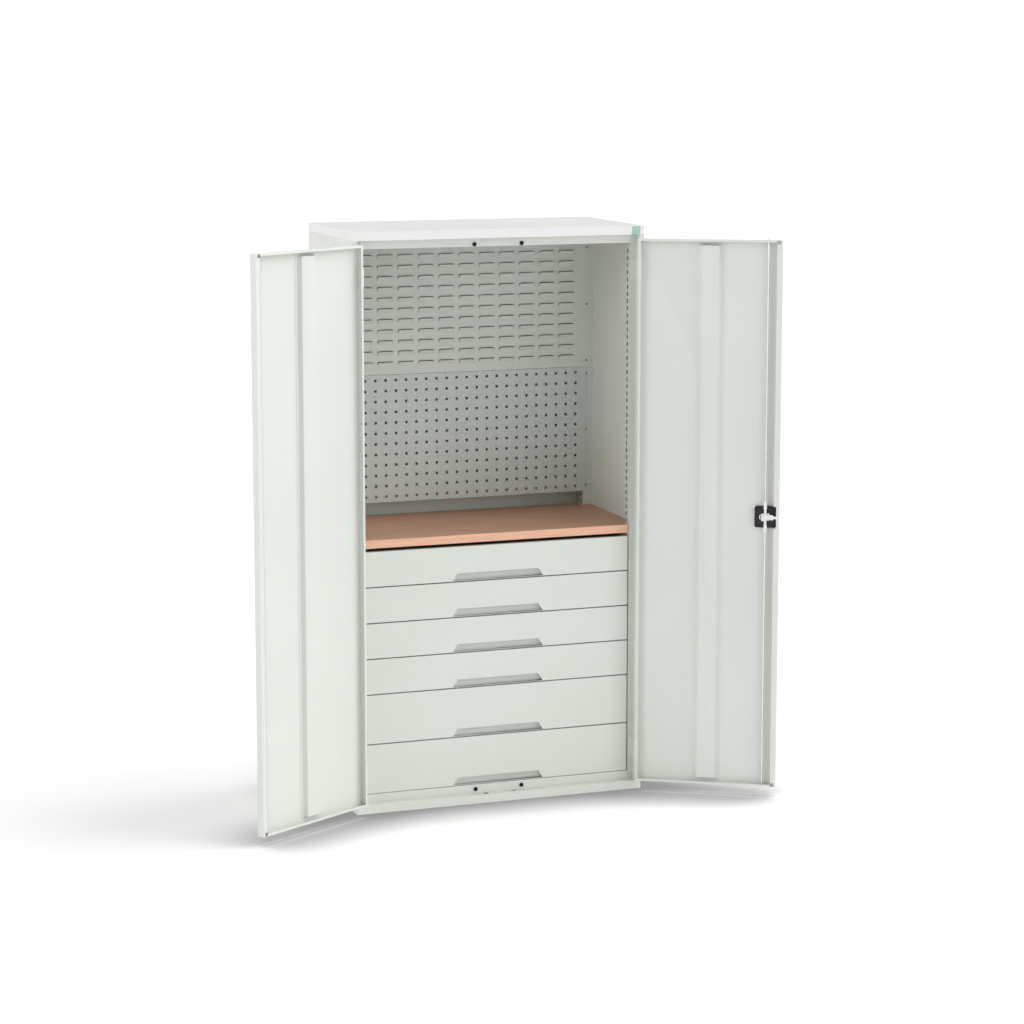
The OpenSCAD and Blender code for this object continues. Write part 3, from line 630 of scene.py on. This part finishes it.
def add_to_level_faces(obj: bpy.types.Object, finish: Any) -> None:
    """Gives the level faces of a piece a second finish. Both uses paint light and shade:
    the two finishes are lighter and darker copies of one material.

    Args:
        obj: The piece.
        finish: Finish of the faces that look up or down.
    """
    obj.data.materials.append(finish_of(finish))
    for face in obj.data.polygons:
        face.material_index = 1 if abs(face.normal.z) > LEVEL_COSINE else 0


@dataclass
class Carcass:
    """The fixed steel carcass: walls, top, base, uprights, rails and hinge leaves."""

    fold_radius: float = 0.7 * MM
    top_radius: float = 1.2 * MM

    def build(self) -> None:
        """Dresses every piece of the carcass."""
        for node in ("side_panel_left", "side_panel_right"):
            rolled_copy(node, CARCASS_PAINT, self.fold_radius)
        # Painted light on the cap's upright faces, painted shade on its level faces.
        cap = rolled_copy("top_cap", FASCIA_PAINTED_LIGHT, self.top_radius)
        add_to_level_faces(cap, TOP_PAINTED_SHADE)
        rolled_copy("base_tray", CARCASS_PAINT, self.top_radius)
        rolled_copy("front_rails", CARCASS_PAINT, self.fold_radius)
        # The inner parts take the darker copy of the paint, as painted shade.
        rolled_copy("worktop_angles", INNER_PAINTED_SHADE, 0.6 * MM)
        for node in ("front_uprights", "rear_uprights", "back_wall"):
            dress_node(node, INNER_PAINTED_SHADE)
        rolled_copy("door_bumpers", RUBBER, 0.9 * MM, 3)
        rolled_copy("carcass_hinge_leaves", CARCASS_PAINT, 0.3 * MM)
        dress_node("hinge_pins", ROD_ZINC)
        rolled_copy("badge_plate", PLATE_PAINT, 0.4 * MM)


@dataclass
class ToolPanels:
    """The perforated and the louvred tool panel with their screws."""

    press_radius: float = 0.4 * MM

    def build(self) -> None:
        """Dresses both panels."""
        dress_node("perforated_panel", PANEL_PAINT)
        # The louvre panel takes the darker inner copy of the paint, as painted shade.
        rolled_copy("louvre_panel", INNER_PAINTED_SHADE, self.press_radius, 1)
        rolled_copy("panel_screws", SCREW_ZINC, 0.8 * MM, 3)


@dataclass
class Worktop:
    """The thick beech worktop."""

    edge_radius: float = 2.0 * MM

    def build(self) -> None:
        """Rounds the worktop's edges and lays its wood, with painted light on the upright
        faces.
        """
        board = rolled_copy("worktop", BEECH_EDGE_PAINTED_LIGHT, self.edge_radius, 3)
        add_to_level_faces(board, BEECH)


@dataclass
class Door:
    """One folded steel door with its stiffener and hinge leaves."""

    side: str
    fold_radius: float = 0.55 * MM

    def build(self) -> None:
        """Dresses the door's pieces."""
        rolled_copy(f"door_{self.side}_skin", DOOR_PAINT, self.fold_radius)
        rolled_copy(f"door_{self.side}_stiffener", DOOR_PAINT, self.fold_radius)
        rolled_copy(f"door_{self.side}_hinge_leaves", DOOR_PAINT, 0.3 * MM)


@dataclass(frozen=True)
class SocketScrew:
    """A screw with a domed round head and a hexagon socket."""

    radius: float
    height: float
    shank_radius: float
    shank_length: float
    dome: float = 0.6 * MM
    socket: float = 1.6 * MM
    depth: float = 1.1 * MM
    socket_sides: int = 6

    def shape(self) -> bmesh.types.BMesh:
        """Makes the screw with its head's foot on Z = 0.

        Returns:
            The closed shape, in metres. Faces in the socket have the second material, which
            paints the socket's shade.
        """
        shape = bmesh.new()
        wall = [
            (0.0, -self.shank_length),
            (self.shank_radius, -self.shank_length),
            (self.shank_radius, 0.0),
            (self.radius, 0.0),
            (self.radius, self.height - self.dome),
        ]
        wall += [
            (
                self.radius - self.dome * (1 - math.cos(angle)),
                self.height - self.dome * (1 - math.sin(angle)),
            )
            for angle in (math.pi / 6, math.pi / 3, math.pi / 2)
        ]
        spin_section(shape, wall, SCREW_STEPS)
        rim = [e for e in shape.edges if e.is_boundary]
        corners = []
        for number in range(self.socket_sides):
            angle = 2 * math.pi / self.socket_sides * number
            x, y = self.socket * math.cos(angle), self.socket * math.sin(angle)
            corners.append(shape.verts.new((x, y, self.height)))
        ring = [
            shape.edges.new((corner, corners[number - 1]))
            for number, corner in enumerate(corners)
        ]
        bmesh.ops.triangle_fill(shape, edges=rim + ring, use_beauty=True)
        sunk = bmesh.ops.extrude_edge_only(shape, edges=ring)["geom"]
        floor = [v for v in sunk if isinstance(v, bmesh.types.BMVert)]
        bmesh.ops.translate(shape, verts=floor, vec=(0, 0, -self.depth))
        closing = bmesh.ops.contextual_create(
            shape, geom=[e for e in shape.edges if e.is_boundary]
        )["faces"]
        # The socket's walls and floor take the second material, the painted shade of the
        # socket.
        for face in closing + [f for f in sunk if isinstance(f, bmesh.types.BMFace)]:
            face.material_index = 1
        bmesh.ops.recalc_face_normals(shape, faces=shape.faces)
        return shape


def spin_section(
    shape: bmesh.types.BMesh, section: Sequence[Tuple[float, float]], steps: int
) -> None:
    """Spins a section round Z and merges the points on the axis.

    Args:
        shape: Empty bmesh that gets the surface.
        section: Radius and height of each point, in order.
        steps: Number of facets round the axis.
    """
    points = [shape.verts.new((r, 0.0, z)) for r, z in section]
    edges = [shape.edges.new(pair) for pair in zip(points, points[1:])]
    bmesh.ops.spin(
        shape,
        geom=points + edges,
        cent=(0, 0, 0),
        axis=(0, 0, 1),
        angle=2 * math.pi,
        steps=steps,
        use_merge=True,
    )
    bmesh.ops.remove_doubles(shape, verts=shape.verts, dist=WELD)


def flat_ring(radius: float, width: float, height: float) -> bmesh.types.BMesh:
    """Makes a flat ring with bevelled edges, standing on Z = 0.

    Args:
        radius: Middle radius of the ring.
        width: Width at its foot.
        height: Height of the ring.

    Returns:
        The closed shape, in metres.
    """
    shape = bmesh.new()
    foot, crest = width / 2, width / 4
    section = [
        (radius - foot, 0.0),
        (radius + foot, 0.0),
        (radius + crest, height),
        (radius - crest, height),
        (radius - foot, 0.0),
    ]
    spin_section(shape, section, RING_STEPS)
    bmesh.ops.recalc_face_normals(shape, faces=shape.faces)
    return shape


@dataclass
class Lock:
    """The rod lock on the inside of the right door, and its handle outside."""

    ridge_radii: Tuple[float, ...] = (18 * MM, 25 * MM, 32 * MM)
    ridge_width: float = 2.4 * MM
    ridge_height: float = 0.28 * MM
    flat_reach: float = 60.5 * MM
    case_screw: SocketScrew = SocketScrew(3.2 * MM, 1.6 * MM, 1.6 * MM, 6 * MM)
    case_screw_reach: float = 29 * MM
    hub_head_height: float = 2.2 * MM
    hub_shank_radius: float = 2.4 * MM
    hub_shank_length: float = 12 * MM
    hub_socket: float = 3.4 * MM

    def build(self) -> None:
        """Dresses the lock's pieces and adds what the case carries."""
        rolled_copy("lock_case", POLYAMIDE, 1.6 * MM, 3)
        rolled_copy("lock_hub", WHITE_LOCK_FINISH, 0.25 * MM)
        self.dress_rod("upper_lock_rod")
        self.dress_rod("lower_lock_rod")
        rolled_copy("side_bolt", WHITE_LOCK_FINISH, 0.3 * MM)
        rolled_copy("rod_bushes", POLYAMIDE, 0.3 * MM)
        rolled_copy("handle_rose", POLYAMIDE, 0.8 * MM, 3)
        rolled_copy("door_handle", POLYAMIDE, 1.6 * MM, 3)
        rolled_copy("lock_plug", NICKEL, 0.4 * MM)
        self.add_case_ridges()
        self.add_case_screws()
        self.add_hub_screw()

    @staticmethod
    def handle_joint() -> Dict[str, Any]:
        """Gives the record's joint of the handle, whose axis is the lock's axis."""
        joints = frame["record"]["behaviour"]["joints"]
        return next(entry for entry in joints if entry["name"] == "handle_turn")

    def axis_place(self, face_node: str) -> Matrix:
        """Gives the place on the lock's axis where a node's inner face lies.

        Args:
            face_node: CAD node whose innermost face is meant.

        Returns:
            Turn and shift from a shape that stands on Z = 0 to that face.
        """
        joint = self.handle_joint()
        axis = Vector(joint["axis"]).normalized()
        origin = Vector(joint["pos_m"])
        corners = frame["nodes"][face_node].data.vertices
        reach = max((vertex.co - origin).dot(axis) for vertex in corners)
        up = Vector((0, 0, 1))
        turn = Matrix((up.cross(axis), up, axis)).transposed().to_4x4()
        return Matrix.Translation(origin + axis * reach) @ turn

    def dress_rod(self, node: str) -> None:
        """Dresses a rod in zinc and gives its flat end the plain white finish.

        Args:
            node: CAD node of the rod.
        """
        rod = rolled_copy(node, ROD_ZINC, 0.3 * MM)
        rod.data.materials.append(finish_of(WHITE_LOCK_FINISH))
        middle = self.handle_joint()["pos_m"][2]
        for face in rod.data.polygons:
            face.material_index = 1 if abs(face.center.z - middle) < self.flat_reach else 0

    def add_case_ridges(self) -> None:
        """Adds the ridges that ring the axis on the case's face."""
        place = self.axis_place("lock_case")
        for number, radius in enumerate(self.ridge_radii, 1):
            ring = flat_ring(radius, self.ridge_width, self.ridge_height)
            bmesh.ops.transform(ring, matrix=place, verts=ring.verts)
            place_piece(f"case_ridge_{number}", ring, RIDGE_BLACK, "door_right")

    def add_screw(
        self, name: str, screw: SocketScrew, place: Matrix, finish: Any, body: str
    ) -> bpy.types.Object:
        """Adds a socket screw whose socket is dark with painted shade.

        Args:
            name: Name of the piece.
            screw: Sizes of the screw.
            place: Turn and shift to its place.
            finish: Finish of the screw.
            body: CAD body that it rides on.

        Returns:
            The screw.
        """
        shape = screw.shape()
        bmesh.ops.transform(shape, matrix=place, verts=shape.verts)
        piece = place_piece(name, shape, finish, body)
        # Painted shade: the socket's faces take the black steel finish.
        piece.data.materials.append(finish_of(BLACK_STEEL_AND_SOCKET_SHADE))
        piece.data.shade_smooth()
        piece.data.set_sharp_from_angle(angle=SHARP_ANGLE)
        return piece

    def add_case_screws(self) -> None:
        """Adds the four screws that hold the case to the door."""
        place = self.axis_place("lock_case")
        reach = self.case_screw_reach
        corners = [(x * reach, y * reach, 0.0) for x in (-1, 1) for y in (-1, 1)]
        for number, corner in enumerate(corners, 1):
            here = place @ Matrix.Translation(corner)
            name = f"case_screw_{number}"
            self.add_screw(name, self.case_screw, here, BLACK_STEEL_AND_SOCKET_SHADE, "door_right")

    def add_hub_screw(self) -> None:
        """Replaces the hub's screw by one with a socket in its head."""
        low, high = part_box("hub_screw")
        screw = SocketScrew(
            (high[2] - low[2]) / 2,
            self.hub_head_height,
            self.hub_shank_radius,
            self.hub_shank_length,
            socket=self.hub_socket,
        )
        place = self.axis_place("lock_hub")
        piece = self.add_screw("hub_screw_head", screw, place, WHITE_LOCK_FINISH, "handle")
        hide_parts("hub_screw")


@dataclass
class Drawer:
    """One drawer with its front, box and runner members."""

    number: int
    fold_radius: float = 0.55 * MM

    def build(self) -> None:
        """Dresses the drawer's pieces."""
        stem = f"drawer_{self.number}"
        rolled_copy(f"{stem}_front", CARCASS_PAINT, self.fold_radius)
        # The box takes the darker inner copy of the paint, as painted shade.
        rolled_copy(f"{stem}_box", INNER_PAINTED_SHADE, 0.4 * MM)
        rolled_copy(f"{stem}_inner_runners", RUNNER_ZINC, 0.5 * MM)
        rolled_copy(f"{stem}_middle_runners", RUNNER_ZINC, 0.5 * MM)


# Studio ----------------------------------------------------------------------------------


@dataclass(frozen=True)
class SoftSun:
    """An even, soft light from one direction, which lights the floor alike everywhere."""

    name: str
    azimuth: float
    elevation: float
    strength: float
    spread: float

    def build(self) -> None:
        """Adds the lamp. Azimuth 0 is in front of the cabinet and 90 at its right."""
        data = bpy.data.lights.new(self.name, "SUN")
        data.energy = self.strength
        data.angle = math.radians(self.spread)
        lamp = bpy.data.objects.new(self.name, data)
        bpy.context.scene.collection.objects.link(lamp)
        lamp.rotation_euler = (
            math.radians(90 - self.elevation),
            0.0,
            math.radians(self.azimuth),
        )


@dataclass
class Studio:
    """Floor, soft light, white surroundings and the camera of the photograph."""

    floor_half: float = 60.0
    floor_colour: str = "FAFAFA"
    floor_glow: float = 0.26
    contact_shadow_colour: str = "404040"
    contact_reach: float = 0.35
    contact_range: Span = (0.55, 0.97)
    contact_samples: int = 16
    world_colour: str = "FFFFFF"
    world_light: float = 0.4
    camera_place: Point = (-3.0681, -9.0094, 2.6059)
    camera_yaw: float = 19.586
    camera_pitch: float = 8.607
    camera_lens: float = 95.87
    camera_sensor: float = 36.0
    camera_range: Span = (0.1, 100.0)
    camera_shift: float = -0.05
    lamps: List[SoftSun] = field(
        default_factory=lambda: [
            SoftSun("right_key", 80.0, 40.0, 2.1, 60.0),
            SoftSun("left_fill", -80.0, 15.0, 1.2, 50.0),
            SoftSun("front_fill", 30.0, 15.0, 0.54, 50.0),
        ]
    )

    def build(self) -> None:
        """Builds the whole studio."""
        self.lay_floor()
        self.light_world()
        for lamp in self.lamps:
            lamp.build()
        self.set_camera()
        bpy.context.scene.view_settings.view_transform = "Standard"

    def lay_floor(self) -> None:
        """Lays the pale floor, with a painted contact shadow right beside what stands on
        it.
        """
        shape = bmesh.new()
        bmesh.ops.create_grid(shape, x_segments=1, y_segments=1, size=self.floor_half)
        mesh = bpy.data.meshes.new("floor")
        shape.to_mesh(mesh)
        shape.free()
        floor = bpy.data.objects.new("floor", mesh)
        bpy.context.scene.collection.objects.link(floor)
        material = bpy.data.materials.new("white_studio_floor")
        material.use_nodes = True
        tree = material.node_tree
        tree.nodes.clear()
        # Painted shadow: ambient occlusion blends the floor's colour towards the contact
        # shadow colour, for camera, mirror and glass rays.
        nearness = add_node(
            tree,
            "ShaderNodeAmbientOcclusion",
            {"samples": self.contact_samples, "Distance": self.contact_reach},
        )
        seen = self.seen_directly(tree)
        contact = remap(tree, nearness.outputs["AO"], self.contact_range, (1.0, 0.0))
        shade = add_node(
            tree, "ShaderNodeMath", {"operation": "MULTIPLY"}, {0: seen, 1: contact}
        )
        colour = blend_colours(
            tree,
            shade.outputs[0],
            linear(self.floor_colour),
            linear(self.contact_shadow_colour),
        )
        diffuse = add_node(tree, "ShaderNodeBsdfDiffuse", links={"Color": colour})
        strength = add_node(
            tree, "ShaderNodeMath", {"operation": "MULTIPLY", 1: self.floor_glow}, {0: seen}
        )
        glow = add_node(
            tree,
            "ShaderNodeEmission",
            {"Color": (1.0, 1.0, 1.0, 1.0)},
            {"Strength": strength.outputs[0]},
        )
        both = add_node(
            tree,
            "ShaderNodeAddShader",
            links={0: diffuse.outputs["BSDF"], 1: glow.outputs["Emission"]},
        )
        add_node(
            tree, "ShaderNodeOutputMaterial", links={"Surface": both.outputs["Shader"]}
        )
        mesh.materials.append(material)

    @staticmethod
    def seen_directly(tree: bpy.types.NodeTree) -> bpy.types.NodeSocket:
        """Gives 1 for camera, mirror and glass rays, and 0 for the rest.

        Args:
            tree: Node tree of the floor or the world.

        Returns:
            Socket with the value.
        """
        path = add_node(tree, "ShaderNodeLightPath")
        total = add_node(
            tree,
            "ShaderNodeMath",
            {"operation": "MAXIMUM"},
            {0: path.outputs["Is Camera Ray"], 1: path.outputs["Is Glossy Ray"]},
        )
        return add_node(
            tree,
            "ShaderNodeMath",
            {"operation": "MAXIMUM"},
            {0: total.outputs[0], 1: path.outputs["Is Transmission Ray"]},
        ).outputs[0]

    def light_world(self) -> None:
        """Lights the scene evenly and shows white where nothing stands."""
        world = bpy.data.worlds.new("white_surroundings")
        bpy.context.scene.world = world
        world.use_nodes = True
        tree = world.node_tree
        tree.nodes.clear()
        seen = self.seen_directly(tree)
        strength = remap(tree, seen, FULL, (self.world_light, 1.0))
        surround = add_node(
            tree,
            "ShaderNodeBackground",
            {"Color": linear(self.world_colour)},
            {"Strength": strength},
        )
        add_node(
            tree, "ShaderNodeOutputWorld", links={"Surface": surround.outputs["Background"]}
        )

    def set_camera(self) -> None:
        """Puts the camera where the photograph was taken from."""
        data = bpy.data.cameras.new("photo_camera")
        data.sensor_width = self.camera_sensor
        data.lens = self.camera_lens
        data.shift_y = self.camera_shift
        data.clip_start, data.clip_end = self.camera_range
        camera = bpy.data.objects.new("photo_camera", data)
        bpy.context.scene.collection.objects.link(camera)
        camera.location = self.camera_place
        camera.rotation_euler = (
            math.radians(90 - self.camera_pitch),
            0.0,
            math.radians(-self.camera_yaw),
        )
        bpy.context.scene.camera = camera


def main() -> None:
    """Builds the cabinet's looks and the studio, in order."""
    logging.basicConfig(level=logging.INFO, format="%(message)s")
    parts: Sequence[Any] = (
        Carcass(),
        ToolPanels(),
        Worktop(),
        Door("left"),
        Door("right"),
        Lock(),
        *(Drawer(number) for number in range(1, DRAWERS + 1)),
        Studio(),
    )
    for part in parts:
        part.build()
        LOG.info("%s is dressed", type(part).__name__)


if __name__ == "__main__":
    main()
